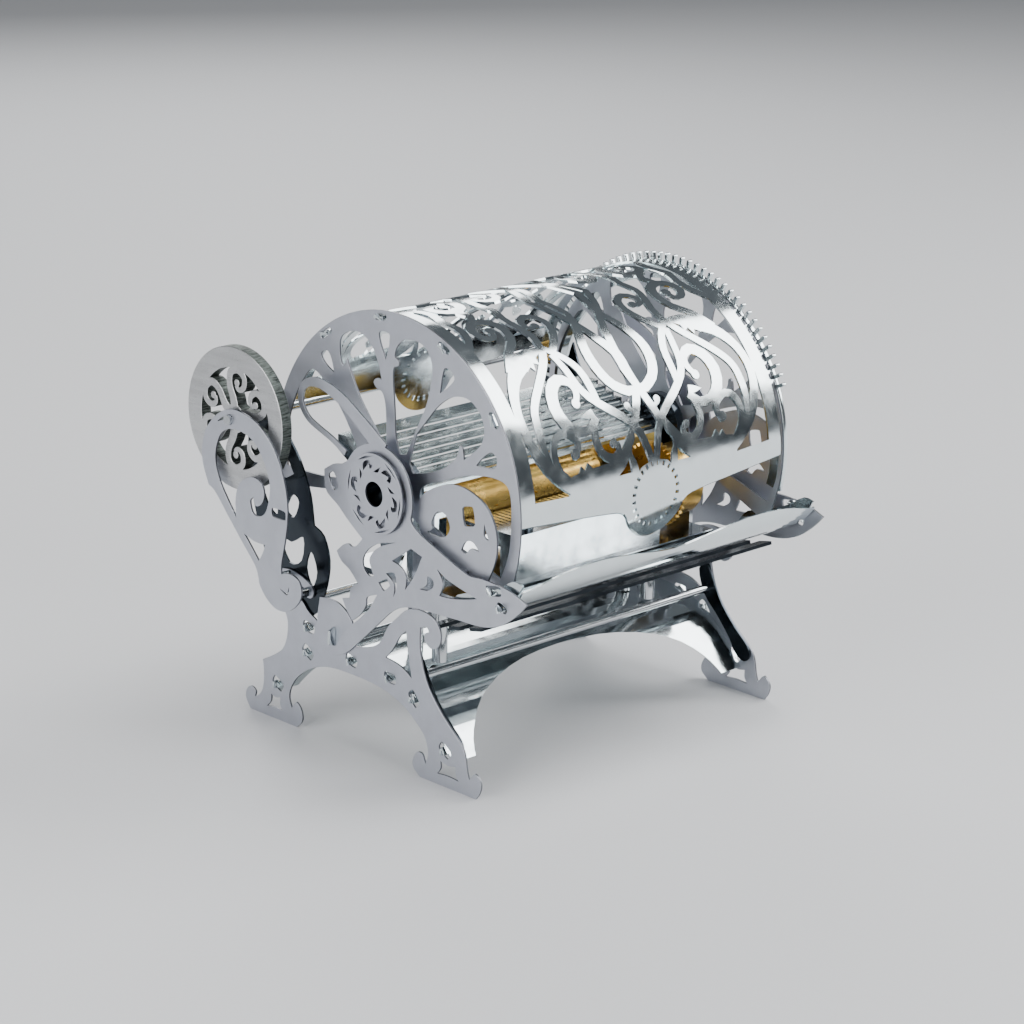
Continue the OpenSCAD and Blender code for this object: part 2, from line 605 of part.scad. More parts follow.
// One half of the ornament, from the middle line outwards.
module ornament_half() {
    rolled_ribbon([[27, 5, 3.2], [31.6, 8.2, 3.6], [36.4, 12.4, 3.2], [39.6, 18, 2.8], [40.9, 23.6, 2.6],
        [40.4, 28.6, 2.6], [38.6, 33, 3], [35.4, 37, 3.8], [31, 40, 4.8], [27.4, 41.8, 4], [23.4, 42.8, 1.6]]);
    rolled_blob([[31, 37, 1], [29.4, 38.6, 1], [28.4, 36.9, 1], [27.6, 39.2, 1], [26, 38.4, 1], [25.8, 41.4, 1],
        [31, 41.6, 1]]);
    rolled_ribbon([[34.8, 12.6, 0.8], [36.3, 17.6, 2], [36.2, 22.4, 2.2], [35.6, 26, 2.2], [33.8, 29, 2.2],
        [30.4, 32.6, 2.2], [27, 36, 2.2], [23.8, 39.6, 2.2], [21.9, 43.4, 2.2], [21.4, 47.4, 2.2],
        [22.8, 52, 2.2], [23.6, 56.4, 2.2], [22, 62.4, 2.2]]);
    rolled_ribbon([[20.8, 27, 1.6], [19.7, 29.2, 2], [20.4, 31.8, 2.4], [23.6, 33.2, 3], [27, 31, 3.4],
        [28.6, 26.6, 3.6], [27.3, 22, 3.4], [23.8, 19.3, 2.8], [19.6, 19.2, 2.4], [16.6, 21.8, 2.2]]);
    rolled_dot([21.4, 26.2], 1.3);
    rolled_blob([[21.6, 22.4, 1], [19.2, 21.8], [16.6, 21.6, 1], [17.4, 24, 1], [19.6, 23.4]]);
    rolled_ribbon([[20.4, 40.4, 1.8], [19.2, 35, 2], [18.4, 30.6, 2.1], [16.4, 27, 2.2], [12, 23.2, 2.2],
        [6.6, 19.2, 2.2], [3, 14.8, 2], [0.9, 8, 1.8]]);
    rolled_ribbon([[21.6, 43, 1.8], [17.4, 38.6, 2], [15.2, 34.6, 2.2], [14.6, 30, 2.2], [14.4, 25, 2]]);
    rolled_ribbon([[25.3, 14.8, 1.6], [24.8, 16.8, 1.8], [26.4, 18.8, 2], [29.4, 19.8, 2], [32.3, 18.2, 2],
        [33.5, 14.6, 2], [32.5, 10.6, 2.4], [29.4, 7, 3]]);
    rolled_dot([26.3, 14.2], 1.4);
    rolled_ribbon([[17.4, 21, 1.6], [18.6, 16.6, 2], [17.6, 12.8, 2], [14.4, 10.9, 2.2], [11.7, 12.2, 1.8],
        [12, 14.4, 1.4]]);
    rolled_dot([13, 14.6], 1.1);
    difference() {
        rolled_blob([[30, 4, 1], [29.4, 8.6], [26.4, 9.4], [25.4, 11, 1], [24.2, 9.6, 1], [23, 11.4, 1],
            [21.6, 9.8, 1], [18, 9.9], [13.4, 10.4], [10.2, 13], [7, 16.6], [5.6, 18.4, 1], [5.6, 14.6],
            [7.6, 11.6], [6.4, 8.6, 1], [5, 3, 1]]);
        rolled_blob([[13, 6.2, 1], [10.4, 8], [8.6, 10, 1], [8.3, 8], [8.2, 6.2, 1]]);
    }
    rolled_ribbon([[31.6, 51.2, 1.6], [32.2, 49.8, 1.6], [34.2, 49.6, 2], [36.2, 51.8, 2.4], [35.8, 55, 2.6],
        [32.6, 57, 2.8], [28.8, 55.6, 2.8], [27.2, 51.4, 2.6], [28.6, 47, 2.4], [32.6, 43.4, 2.2],
        [36.6, 38, 1.6]]);
    rolled_dot([31.4, 52.4], 1.4);
    rolled_ribbon([[18.2, 50, 1.4], [20, 50.4, 1.6], [20.4, 53, 2], [17.6, 55, 2.2], [14.4, 53.4, 2.2],
        [13.4, 49.4, 2.2], [15.6, 45, 2], [19, 41.6, 1.8]]);
    rolled_dot([17.4, 50.6], 1.2);
    rolled_ribbon([[43.4, 46, 1.6], [40, 51, 2.2], [39, 56, 2.4], [41, 62.4, 2.4]]);
    rolled_ribbon([[32.6, 57, 2], [30, 62.4, 2.4]]);
    rolled_ribbon([[3.2, 26.2, 2.6], [6.8, 28.4, 2.8], [9, 32, 3], [9.7, 36.6, 3], [8.8, 41.4, 2.6],
        [6, 47.4, 2.2], [4.6, 53, 2], [7.6, 62.4, 2.2]]);
    rolled_dot([5.3, 22.5], 1.05);
    rolled_ribbon([[2.4, 22, 1], [4, 21.2, 1.1], [5.5, 22, 1.2]]);
}

// The middle strands, the plain lower band and the toothed hanging medallion.
module ornament_middle() {
    rolled_ribbon([[-10.6, 62.4, 2], [-8, 54, 2], [-5.4, 48, 2.2], [-3.1, 42, 2.6], [-0.6, 37, 3.2],
        [-0.6, 32, 3.2], [0.4, 27.4, 2.4], [2.2, 22.6, 2.2], [4.6, 17.2, 2.4]]);
    rolled_ribbon([[10.6, 62.4, 2], [7, 54, 2], [3, 47.6, 2.2], [0.8, 42, 2.2], [-0.4, 37, 2.4]]);
    rolled_ribbon([[-3.6, 26.2, 2.6], [0, 26, 2.2], [3.6, 26.2, 2.6]]);
    rolled_ribbon([[-0.4, 26, 2.4], [-2.6, 21.4, 2.4], [-4.8, 17.2, 2]]);
    rolled_blob([[-shell_half - 0.5, 5.2, 1], [-26, 4.2, 1], [0, 4.2], [26, 4.2, 1], [46.6, 5.4, 1], [46.6, 0.4, 1],
        [30, -1.2], [16, -2.6], [11, -4], [8.6, -7.6], [4.6, -10.8], [0, -11.9], [-4.6, -10.8],
        [-8.6, -7.6], [-11, -4], [-16, -2.8], [-30, -1.6], [-shell_half - 0.5, -0.3, 1]]);
    rolled_dot([0, -0.8], 9);
}

module side_bands() {
    rolled_blob([[-shell_half - 0.5, 0, 1], [-42.1, 1, 1], [-42.1, 30, 1], [-42.1, 62, 1],
        [-shell_half - 0.5, 62, 1], [-shell_half - 0.5, 30, 1]]);
    rolled_blob([[42.2, 1, 1], [46.4, 1, 1], [46.4, 30, 1], [46.4, 62, 1], [42.2, 62, 1], [42.2, 30, 1]]);
    for (k = [0 : 15])
        rolled_ribbon([[46, 19.6 + k * 2.6, 1.5], [46.9, 19.8 + k * 2.6, 1.2], [47.6, 20.2 + k * 2.6, 0.7]]);
}

module medallion_notches() {
    for (i = [0 : 23])
        polygon([for (q = [[7.2, -3.4], [8.5, -2.6], [8.5, 2.6], [7.2, 3.4]])
            let (a = i * 15 + 7.5 + q[1]) rolled([q[0] * cos(a), q[0] * sin(a) - 0.8])]);
}

module cover_panel() {
    translate([0, 0, cover_r * 0.45])
        linear_extrude(cover_r * 0.7) difference() {
            soften() {
                side_bands();
                ornament_middle();
                ornament_half();
                mirror([1, 0]) ornament_half();
            }
            medallion_notches();
        }
}

seam_angle = panel_span / cover_r * 180 / PI;

// Part of the rolled sheet between two angles counted up from the front edge.
module shell_sector(a0, a1) {
    translate([0, 0, axis_z])
        rotate([90, 0, -90])
            rotate([0, 0, a0])
                rotate_extrude(angle = a1 - a0)
                    translate([cover_r - cover_sheet, -shell_half])
                        square([cover_sheet, 2 * shell_half]);
}

// Front half of the rolled cover, from the hanging medallion up to the seam at the top.
module cover_front() {
    color(mirror_steel) centred() intersection() {
        shell_sector(-20, seam_angle);
        translate([0, 0, axis_z])
            rotate([90 - panel_turn, 0, 0])
                cover_panel();
    }
}

// Rear half: the same pierced panel turned over at the seam.
module cover_rear() {
    color(mirror_steel) centred() intersection() {
        shell_sector(seam_angle, 2 * seam_angle + 20);
        translate([0, 0, axis_z])
            rotate([90 - 2 * seam_angle + panel_turn, 0, 0])
                mirror([0, 1, 0])
                    cover_panel();
    }
}

tab_angles = [35.5, 65.9, 96.9, 125.9];

module disc_windows() {
    blob([[20, 105.4], [16.5, 107.8], [12.4, 108.2], [8.6, 106], [6, 102], [4.6, 97.6, 1], [6.4, 97.8],
        [7.6, 96.6], [6.4, 95.2], [4.2, 94.4], [3, 90], [2.8, 80, 1], [8, 86], [13, 92], [16, 97.4],
        [17.6, 100.6, 1], [19, 98.4], [20.2, 101]]);
    blob([[5.8, 109.4], [3.8, 110.2], [1.8, 109.6], [2.2, 106], [3.2, 103, 1], [5, 106.4]]);
    blob([[-1, 107.4], [-4, 109.6], [-8.4, 109.9], [-12, 108.2], [-13.6, 104.6], [-13.2, 100],
        [-11.6, 94.6], [-9.6, 90.6], [-6.4, 84.4], [-4.6, 80.6, 1], [-2.2, 80, 1], [-0.6, 84], [0, 92],
        [0.6, 99], [0.2, 101.8], [-1.4, 102.4], [-1.4, 103.8], [0, 104.6]]);
    blob([[-18, 105.2], [-20.4, 104.8], [-21.4, 103], [-19.4, 100.8], [-16.4, 98.6, 1], [-17, 102.4]]);
    blob([[-8, 86.4, 1], [-12, 91], [-16, 95.4], [-21, 98.6], [-26, 99.2], [-30, 97], [-32, 93.4],
        [-31.4, 89.4], [-28.6, 86.4], [-25, 83.6, 1], [-24.6, 86.4], [-23.4, 86.8], [-22.8, 84.2],
        [-19, 80.6], [-13, 77.8], [-7, 76.2, 1], [-5.6, 78.6, 1]]);
    blob([[-34.8, 87.7], [-36.6, 86.4], [-36, 84], [-33, 83.4], [-29.4, 83.2, 1], [-32, 86]]);
    blob([[-17, 76.4, 1], [-24, 79.2], [-30, 80.8], [-35.6, 81.4], [-40, 80.6], [-41.6, 77], [-41.8, 70],
        [-41, 63], [-38.4, 56.6, 1], [-30, 59.4], [-20, 62.4], [-12, 65.6], [-9.6, 70.6], [-11, 74]]);
    blob([[27.4, 100], [24.8, 101.2], [23.2, 99], [22.4, 96, 1], [25.6, 97.6]]);
    blob([[30.6, 95.4], [34.8, 91], [38.6, 84], [40.6, 76], [40.4, 68, 1], [28, 68], [16, 69.6, 1],
        [12, 74], [14.6, 80], [19.6, 87], [25.4, 92.6]]);
}

module disc_drawing(r) {
    difference() {
        union() {
            difference() {
                translate([0, axis_z]) circle(r, $fn = 120);
                polygon([[-4, 66], [-60, 41.5], [-60, 0], [60, 0], [60, 60.1], [4, 68]]);
            }
            translate([0, axis_z]) circle(8);
        }
        disc_windows();
        for (a = tab_angles)
            translate([0, axis_z]) rotate(180 - a) translate([43.3, 0]) rotate(90) soften_square(4.4, 1.5);
    }
}

module left_disc() {
    color(satin) centred() difference() {
        plate(-disc_x - sheet) disc_drawing(disc_r);
        bar(0, axis_z, -60, -40, 4.4);
    }
}

module right_disc() {
    color(satin) centred() difference() {
        plate(disc_x) disc_drawing(42.8);
        bar(0, axis_z, 40, 60, 4.4);
    }
}

// Ring gear: slender round-ended fingers over the arc that reaches the lantern pinion.
module ring_gear() {
    pitch_angle = 360 / teeth_per_turn;
    color(mirror_steel) centred() plate(disc_x + sheet, 1.2)
        difference() {
            union() {
                translate([0, axis_z]) circle(ring_pitch_r - 1.1, $fn = 120);
                for (i = [0 : 52])
                    translate([0, axis_z])
                        rotate(fly_angle - 10 * pitch_angle + (i + 0.5) * pitch_angle) {
                            translate([ring_pitch_r - 2, -0.5]) square([2 + ring_tip_r - 0.5 - ring_pitch_r, 1]);
                            translate([ring_tip_r - 0.5, 0]) circle(0.5, $fn = 16);
                        }
            }
            translate([0, axis_z]) circle(38.4, $fn = 120);
            polygon([[0, axis_z], [-80, axis_z - 20], [-80, -20], [80, -20], [80, axis_z - 14]]);
        }
}

module cover_hubs() {
    color(dark_steel) centred() both_sides() difference() {
        bar(0, axis_z, -disc_x, -disc_x + 2.4, 8);
        bar(0, axis_z, -disc_x - 1, -disc_x + 4, 4.25);
    }
}

// Tabs folded from the cover's edge through the disc windows.
module cover_tabs() {
    color(mirror_steel) centred() for (a = tab_angles)
        translate([0, 0, axis_z])
            rotate([90 - a, 0, 0]) {
                translate([-disc_x - 0.7, 0, 43.3]) cube([1.6, 3, 0.5], center = true);
                translate([-disc_x - 1.2, 0, 43.3]) rotate([30, 0, 0]) cube([0.8, 2.6, 0.5], center = true);
            }
}

// Flywheel: a heavy rim with six scrolls curled from three branches of the hub.
module fly_scroll() {
    ribbon([[1.6, 0, 3.2], [5, 0.6, 2.6], [8.4, 2.2, 2.2], [11.8, 2, 2.2], [13, -0.8, 2], [11.4, -3.4, 1.9],
        [8.8, -3.2, 1.8], [7.8, -1.4, 1.4], [8.8, -0.2, 1.2]]);
    dot([9.5, -0.6], 1);
}

module flywheel() {
    color(ground_steel) centred() difference() {
        union() {
            plate(-inner - 8.4, fly_t) translate([fly_y, fly_z]) {
                soften() {
                    for (a = [0 : 120 : 240]) {
                        rotate(a + 32) fly_scroll();
                        rotate(a + 92) mirror([0, 1]) fly_scroll();
                    }
                    circle(3.8);
                }
            }
            difference() {
                bar(fly_y, fly_z, -inner - 8.4, -inner - 8.4 + fly_t, fly_r);
                bar(fly_y, fly_z, -inner - 9, -inner - 4, 13.2);
            }
        }
        bar(fly_y, fly_z, -inner - 9, -inner - 4, 1.3);
    }
}

module arbor() {
    color(ground_steel) centred() bar(fly_y, fly_z, -inner - 11, inner + 0.2, 1.3);
}

// Lantern pinion: round pins between two small flanges, in mesh with the ring gear.
module lantern_pinion() {
    color(brass) centred() difference() {
        union() {
            bar(fly_y, fly_z, disc_x + 0.05, disc_x + 0.4, 3.7);
            bar(fly_y, fly_z, disc_x + 2.1, disc_x + 2.7, 3.7);
            for (i = [0 : pinion_pins - 1])
                bar(fly_y + pin_circle_r * cos(fly_angle + 180 + i * 360 / pinion_pins),
                    fly_z + pin_circle_r * sin(fly_angle + 180 + i * 360 / pinion_pins),
                    disc_x + 0.3, disc_x + 2.2, 0.4);
        }
        bar(fly_y, fly_z, disc_x - 1, disc_x + 4, 1.3);
    }
}

left_frame();
right_frame();
left_bracket();
right_bracket();
left_rosette();
right_rosette();
pivot_bushes();
cheek_plates();
leaf_bracket();
rear_bridge();
pillars();
base_sheet();
tray();
tray_ends();
tray_rail();
key_deck();
deck_ends();
cross_rods();
lock_tabs();
leg_linings();
bedplate();
bedplate_pillars();
movement_cocks();
comb();
comb_screws();
cover_front();
cover_rear();
left_disc();
right_disc();
ring_gear();
cover_hubs();
cover_tabs();
flywheel();
arbor();
lantern_pinion();
music_cylinder();
cylinder_arbor();
cylinder_wheel();
spring_barrel();
winding_arbor();
governor_fly();
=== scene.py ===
# %% [markdown]
# # Cylinder music box in an openwork steel casket
# The real object is a small desk piece made almost wholly of thin stainless sheet. Every plate is
# laser-cut, tumbled or polished, and held by tabs that are pushed through windows and twisted. The
# lesson loads the measured CAD frame, gives each piece the finish it would leave the workshop with,
# and redraws the flat plates with true curved outlines and softened edges.

# %% load the frame
import bpy, bmesh, json, math
from mathutils import Matrix, Vector

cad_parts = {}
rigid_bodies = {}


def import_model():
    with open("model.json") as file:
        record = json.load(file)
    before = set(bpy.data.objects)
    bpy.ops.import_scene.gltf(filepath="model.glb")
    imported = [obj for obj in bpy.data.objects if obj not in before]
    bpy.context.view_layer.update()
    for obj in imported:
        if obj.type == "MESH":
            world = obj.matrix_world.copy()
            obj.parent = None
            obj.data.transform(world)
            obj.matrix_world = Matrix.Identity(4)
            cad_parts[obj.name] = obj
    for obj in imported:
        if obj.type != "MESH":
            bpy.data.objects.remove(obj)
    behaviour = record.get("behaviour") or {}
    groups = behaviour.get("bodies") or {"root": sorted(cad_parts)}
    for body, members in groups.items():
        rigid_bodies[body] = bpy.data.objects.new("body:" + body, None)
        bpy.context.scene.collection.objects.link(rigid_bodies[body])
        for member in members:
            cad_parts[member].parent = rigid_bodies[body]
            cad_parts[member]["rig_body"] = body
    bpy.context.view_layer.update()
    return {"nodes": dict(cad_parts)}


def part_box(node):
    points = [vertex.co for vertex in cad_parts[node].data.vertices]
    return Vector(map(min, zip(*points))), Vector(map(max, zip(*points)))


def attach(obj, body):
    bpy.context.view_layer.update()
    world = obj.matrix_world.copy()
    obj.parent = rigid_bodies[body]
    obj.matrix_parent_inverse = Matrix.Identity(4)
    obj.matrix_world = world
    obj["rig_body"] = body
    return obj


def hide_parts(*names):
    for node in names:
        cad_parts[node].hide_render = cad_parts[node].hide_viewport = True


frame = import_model()
MM = 0.001
NODES = frame["nodes"]

# %% [markdown]
# ## Node tools
# Colours are kept as the hex values of a finish card, and one function turns them into the linear
# light values the renderer works with. One small function adds a shader node with its settings and
# links, so each material below reads as the list of its nodes. A node given as an input is linked by
# its first output. All patterns use object coordinates, which are in metres: a noise scale of 1000
# has features about a millimetre across.

# %% node tools
def rgb(hex_code, part=1.0):
    """Linear colour of a hex code, at this part of its brightness."""
    parts = [int(hex_code[i:i + 2], 16) / 255 for i in (1, 3, 5)]
    return tuple(part * (c / 12.92 if c <= 0.04045 else ((c + 0.055) / 1.055) ** 2.4) for c in parts) + (1.0,)


def node(tree, kind, inputs=None, **settings):
    """Add a shader node; inputs takes numbers, colours, sockets or nodes by socket name or index."""
    made = tree.nodes.new("ShaderNode" + kind)
    for key, value in settings.items():
        setattr(made, key, value)
    wire(tree, made, inputs or {})
    return made


def wire(tree, target, inputs):
    for key, value in inputs.items():
        if isinstance(value, bpy.types.Node):
            value = value.outputs[0]
        if isinstance(value, bpy.types.NodeSocket):
            tree.links.new(value, target.inputs[key])
        else:
            target.inputs[key].default_value = value


def new_material(name, metallic, roughness, colour):
    mat = bpy.data.materials.new(name)
    mat.use_nodes = True
    tree = mat.node_tree
    tree.nodes.clear()
    shader = node(tree, "BsdfPrincipled", {"Metallic": metallic, "Roughness": roughness, "Base Color": colour})
    node(tree, "OutputMaterial", {"Surface": shader})
    place = node(tree, "TexCoord").outputs["Object"]
    return mat, tree, shader, place


print("node tools ready")

# %% [markdown]
# ## Satin stainless sheet
# The side frames, brackets and end discs are cold-rolled stainless, laser-cut and then tumbled with
# ceramic chips. Tumbling leaves an even matt grain of about a tenth of a millimetre and a little
# cloudiness a few millimetres across. The laser leaves the cut edge darker, so a mask picks out every
# surface that doesn't face along the barrel axis.

# %% satin sheet
def cut_edge(tree):
    """1 on a cut edge of a sheet that stands across the barrel axis, 0 on its faces."""
    facing = node(tree, "SeparateXYZ", {"Vector": node(tree, "TexCoord").outputs["Normal"]})
    size = node(tree, "Math", {0: facing.outputs["X"]}, operation="ABSOLUTE")
    return node(tree, "MapRange", {"Value": size, "From Min": 0.25, "From Max": 0.75,
                                   "To Min": 1.0, "To Max": 0.0})


def satin_steel(name, colour, edge_colour, rough):
    mat, tree, shader, at = new_material(name, 1.0, rough, rgb(colour))
    cloud = node(tree, "TexNoise", {"Vector": at, "Scale": 160.0, "Detail": 4.0, "Roughness": 0.55})
    grain = node(tree, "TexNoise", {"Vector": at, "Scale": 9000.0, "Detail": 2.0, "Roughness": 0.7})
    cloudy = node(tree, "MapRange", {"Value": cloud, "From Min": 0.3, "From Max": 0.7})
    face = node(tree, "Mix", {0: cloudy, 6: rgb(colour), 7: rgb(colour, 0.9)}, data_type="RGBA")
    skin = node(tree, "Mix", {0: cut_edge(tree), 6: face.outputs[2], 7: rgb(edge_colour)}, data_type="RGBA")
    both = node(tree, "Math", {0: cloud, 1: grain}, operation="ADD")
    matt = node(tree, "MapRange", {"Value": both, "From Min": 0.6, "From Max": 1.4,
                                   "To Min": rough - 0.06, "To Max": rough + 0.07})
    pits = node(tree, "Bump", {"Height": grain, "Distance": 0.02 * MM, "Strength": 0.35})
    wire(tree, shader, {"Base Color": skin.outputs[2], "Roughness": matt, "Normal": pits})
    return mat


SATIN = satin_steel("tumbled_stainless_sheet", "#C4C7D0", "#6E7076", 0.36)
print("satin sheet ready")

# %% [markdown]
# ## Mirror-polished sheet
# The rolled cover, the tray and the slats are stainless polished to a mirror. Rolling and polishing
# leave a shallow waviness about a centimetre long, which is what bends the reflections, and handling
# leaves fine hairlines and smears that are a little duller than the rest.

# %% mirror sheet
def mirror_sheet(name, colour, rough, wave):
    mat, tree, shader, at = new_material(name, 1.0, rough, rgb(colour))
    across = node(tree, "Mapping", {"Vector": at, "Scale": (60, 2500, 2500)})
    slow = node(tree, "TexNoise", {"Vector": at, "Scale": 90.0, "Detail": 1.0, "Roughness": 0.55})
    hair = node(tree, "TexNoise", {"Vector": across, "Scale": 1.0, "Detail": 2.0, "Roughness": 0.55})
    smear = node(tree, "TexNoise", {"Vector": at, "Scale": 240.0, "Detail": 5.0, "Roughness": 0.55})
    gloss = node(tree, "MapRange", {"Value": smear, "From Min": 0.3, "From Max": 0.75,
                                    "To Min": rough * 0.6, "To Max": rough * 1.9})
    handled = node(tree, "MapRange", {"Value": smear, "From Min": 0.4, "From Max": 0.8, "To Max": 0.35})
    skin = node(tree, "Mix", {0: handled, 6: rgb(colour), 7: rgb(colour, 0.85)}, data_type="RGBA")
    waves = node(tree, "Bump", {"Height": slow, "Distance": wave, "Strength": 0.6})
    lines = node(tree, "Bump", {"Height": hair, "Distance": 0.004 * MM, "Strength": 0.25, "Normal": waves})
    wire(tree, shader, {"Base Color": skin.outputs[2], "Roughness": gloss, "Normal": lines})
    return mat


MIRROR = mirror_sheet("mirror_polished_stainless_sheet", "#DDE6E8", 0.11, 0.2 * MM)
SLAT = mirror_sheet("polished_slat_strip", "#D2DADB", 0.16, 0.1 * MM)
# The dark copy is painted shade: its colour stands in for the shadow and dark reflections on the rails,
# linings, hubs and other pieces in the gaps. The steel itself is not darker.
SHADE_PAINTED_STEEL = mirror_sheet("polished_steel_painted_dark_as_shade", "#3C4248", 0.15, 0.2 * MM)
print("mirror sheets ready")

# %% [markdown]
# ## Ground flywheel steel
# The flywheel is cut from thick plate with a water jet and its faces are ground. Grinding leaves
# parallel scratches; the jet leaves a coarse, dull, striated rim across the thickness.

# %% ground steel
def ground_steel(name, colour, rim_colour):
    mat, tree, shader, at = new_material(name, 1.0, 0.35, rgb(colour))
    scratched = node(tree, "Mapping", {"Vector": at, "Scale": (900, 220, 9000)})
    banded = node(tree, "Mapping", {"Vector": at, "Scale": (60, 40, 420)})
    jetted = node(tree, "Mapping", {"Vector": at, "Scale": (300, 2200, 2200)})
    lines = node(tree, "TexNoise", {"Vector": scratched, "Scale": 1.0, "Detail": 3.0, "Roughness": 0.6})
    broad = node(tree, "TexNoise", {"Vector": banded, "Scale": 1.0, "Detail": 3.0, "Roughness": 0.55})
    coarse = node(tree, "TexNoise", {"Vector": jetted, "Scale": 1.0, "Detail": 4.0, "Roughness": 0.7})
    bands = node(tree, "MapRange", {"Value": broad, "From Min": 0.3, "From Max": 0.7})
    pitted = node(tree, "MapRange", {"Value": coarse, "From Min": 0.35, "From Max": 0.65})
    face = node(tree, "Mix", {0: bands, 6: rgb(colour), 7: rgb(colour, 0.8)}, data_type="RGBA")
    rim = node(tree, "Mix", {0: pitted, 6: rgb(rim_colour), 7: rgb("#2E3130")}, data_type="RGBA")
    edge = cut_edge(tree)
    skin = node(tree, "Mix", {0: edge, 6: face.outputs[2], 7: rim.outputs[2]}, data_type="RGBA")
    level = node(tree, "MapRange", {"Value": edge, "To Min": 0.3, "To Max": 0.6})
    wobble = node(tree, "MapRange", {"Value": lines, "From Min": 0.3, "From Max": 0.7,
                                     "To Min": -0.06, "To Max": 0.08})
    matt = node(tree, "Math", {0: level, 1: wobble}, operation="ADD")
    height = node(tree, "Mix", {"Factor": edge, "A": lines, "B": coarse}, data_type="FLOAT")
    cuts = node(tree, "Bump", {"Height": height, "Distance": 0.06 * MM, "Strength": 0.5})
    wire(tree, shader, {"Base Color": skin.outputs[2], "Roughness": matt, "Normal": cuts})
    return mat


GROUND = ground_steel("surface_ground_steel_plate", "#D6D7D8", "#7C8480")
print("ground steel ready")

# %% [markdown]
# ## Turned and lapped steel
# The rods and arbors are turned, and the comb and its bed are lapped flat. Both come out bright, with
# lines so fine that they only soften the reflections a little.

# %% turned steel
def turned_steel(name, colour, rough):
    mat, tree, shader, at = new_material(name, 1.0, rough, rgb(colour))
    round_axis = node(tree, "Mapping", {"Vector": at, "Scale": (6000, 60, 60)})
    patch = node(tree, "TexNoise", {"Vector": at, "Scale": 220.0, "Detail": 4.0, "Roughness": 0.55})
    lathe = node(tree, "TexNoise", {"Vector": round_axis, "Scale": 1.0, "Detail": 2.0, "Roughness": 0.55})
    dull = node(tree, "MapRange", {"Value": patch, "From Min": 0.35, "From Max": 0.7, "To Max": 0.6})
    gloss = node(tree, "MapRange", {"Value": patch, "From Min": 0.3, "From Max": 0.7,
                                    "To Min": rough * 0.7, "To Max": rough * 1.5})
    skin = node(tree, "Mix", {0: dull, 6: rgb(colour), 7: rgb(colour, 0.82)}, data_type="RGBA")
    lines = node(tree, "Bump", {"Height": lathe, "Distance": 0.003 * MM, "Strength": 0.3})
    wire(tree, shader, {"Base Color": skin.outputs[2], "Roughness": gloss, "Normal": lines})
    return mat


TURNED = turned_steel("turned_bright_steel", "#C6CACD", 0.16)
print("turned steel ready")

# %% [markdown]
# ## Brass
# The pinned cylinder, the spring barrel and the wheels inside are turned brass, so their grain runs
# round the axis. Old handling dulls it in patches about a centimetre across.

# %% brass
def turned_brass(name):
    mat, tree, shader, at = new_material(name, 1.0, 0.27, rgb("#D9B15E"))
    round_axis = node(tree, "Mapping", {"Vector": at, "Scale": (7000, 60, 60)})
    patch = node(tree, "TexNoise", {"Vector": at, "Scale": 120.0, "Detail": 5.0, "Roughness": 0.55})
    lathe = node(tree, "TexNoise", {"Vector": round_axis, "Scale": 1.0, "Detail": 2.0, "Roughness": 0.55})
    dull = node(tree, "MapRange", {"Value": patch, "From Min": 0.35, "From Max": 0.75})
    gloss = node(tree, "MapRange", {"Value": patch, "From Min": 0.3, "From Max": 0.7,
                                    "To Min": 0.2, "To Max": 0.38})
    skin = node(tree, "Mix", {0: dull, 6: rgb("#DDB766"), 7: rgb("#A9823C")}, data_type="RGBA")
    lines = node(tree, "Bump", {"Height": lathe, "Distance": 0.02 * MM, "Strength": 0.3})
    wire(tree, shader, {"Base Color": skin.outputs[2], "Roughness": gloss, "Normal": lines})
    return mat


BRASS = turned_brass("turned_brass")
print("brass ready")

# %% [markdown]
# ## Finishes on the CAD pieces
# Every piece takes the finish of its kind, except the pieces that sit in shade. Their mirror polish is
# painted dark, as painted shade and painted dark reflection. What is left takes the mirror polish. A narrow
# rounded edge is added to the thicker pieces, because no real edge is perfectly sharp and the rounding is
# what catches the light.

# %% dress the CAD nodes
GROUPS = (
    (GROUND, "flywheel"),
    (SLAT, "key_deck"),
    (SATIN, "left_frame right_frame left_bracket right_bracket left_rosette right_rosette cheek_plates "
            "leaf_bracket left_disc right_disc"),
    # Painted shade: these pieces get the polish painted dark, standing in for the shadow and the dark
    # reflections on them.
    (SHADE_PAINTED_STEEL, "pivot_bushes rear_bridge tray_rail leg_linings comb_screws cover_hubs governor_fly"),
    (TURNED, "pillars cross_rods comb arbor cylinder_arbor winding_arbor bedplate bedplate_pillars "
             "movement_cocks"),
    (BRASS, "lantern_pinion music_cylinder cylinder_wheel spring_barrel"))
FINISH = {name: mat for mat, names in GROUPS for name in names.split()}


def soft_edges(obj, width):
    mod = obj.modifiers.new("soft_edges", "BEVEL")
    mod.width, mod.segments, mod.limit_method, mod.angle_limit = width * MM, 2, "ANGLE", math.radians(40)
    mod.harden_normals = False
    obj.modifiers.new("even_shading", "WEIGHTED_NORMAL")


ROUND_EDGES = {"key_deck": 0.08, "tray_rail": 0.1, "bedplate": 0.15, "movement_cocks": 0.12, "comb": 0.05}
for name, obj in NODES.items():
    obj.data.materials.clear()
    obj.data.materials.append(FINISH.get(name, MIRROR))
    if name in ROUND_EDGES:
        soft_edges(obj, ROUND_EDGES[name])
print("finishes on", len(NODES), "nodes")

# %% [markdown]
# ## Redrawing the flat plates
# A laser follows a true curve, so each flat plate is drawn again from its own outline: every loop of
# the measured plate is read, gentle bends are rounded while real corners stay sharp, and the loops
# become a filled curve with the plate's thickness and a small rounded edge.

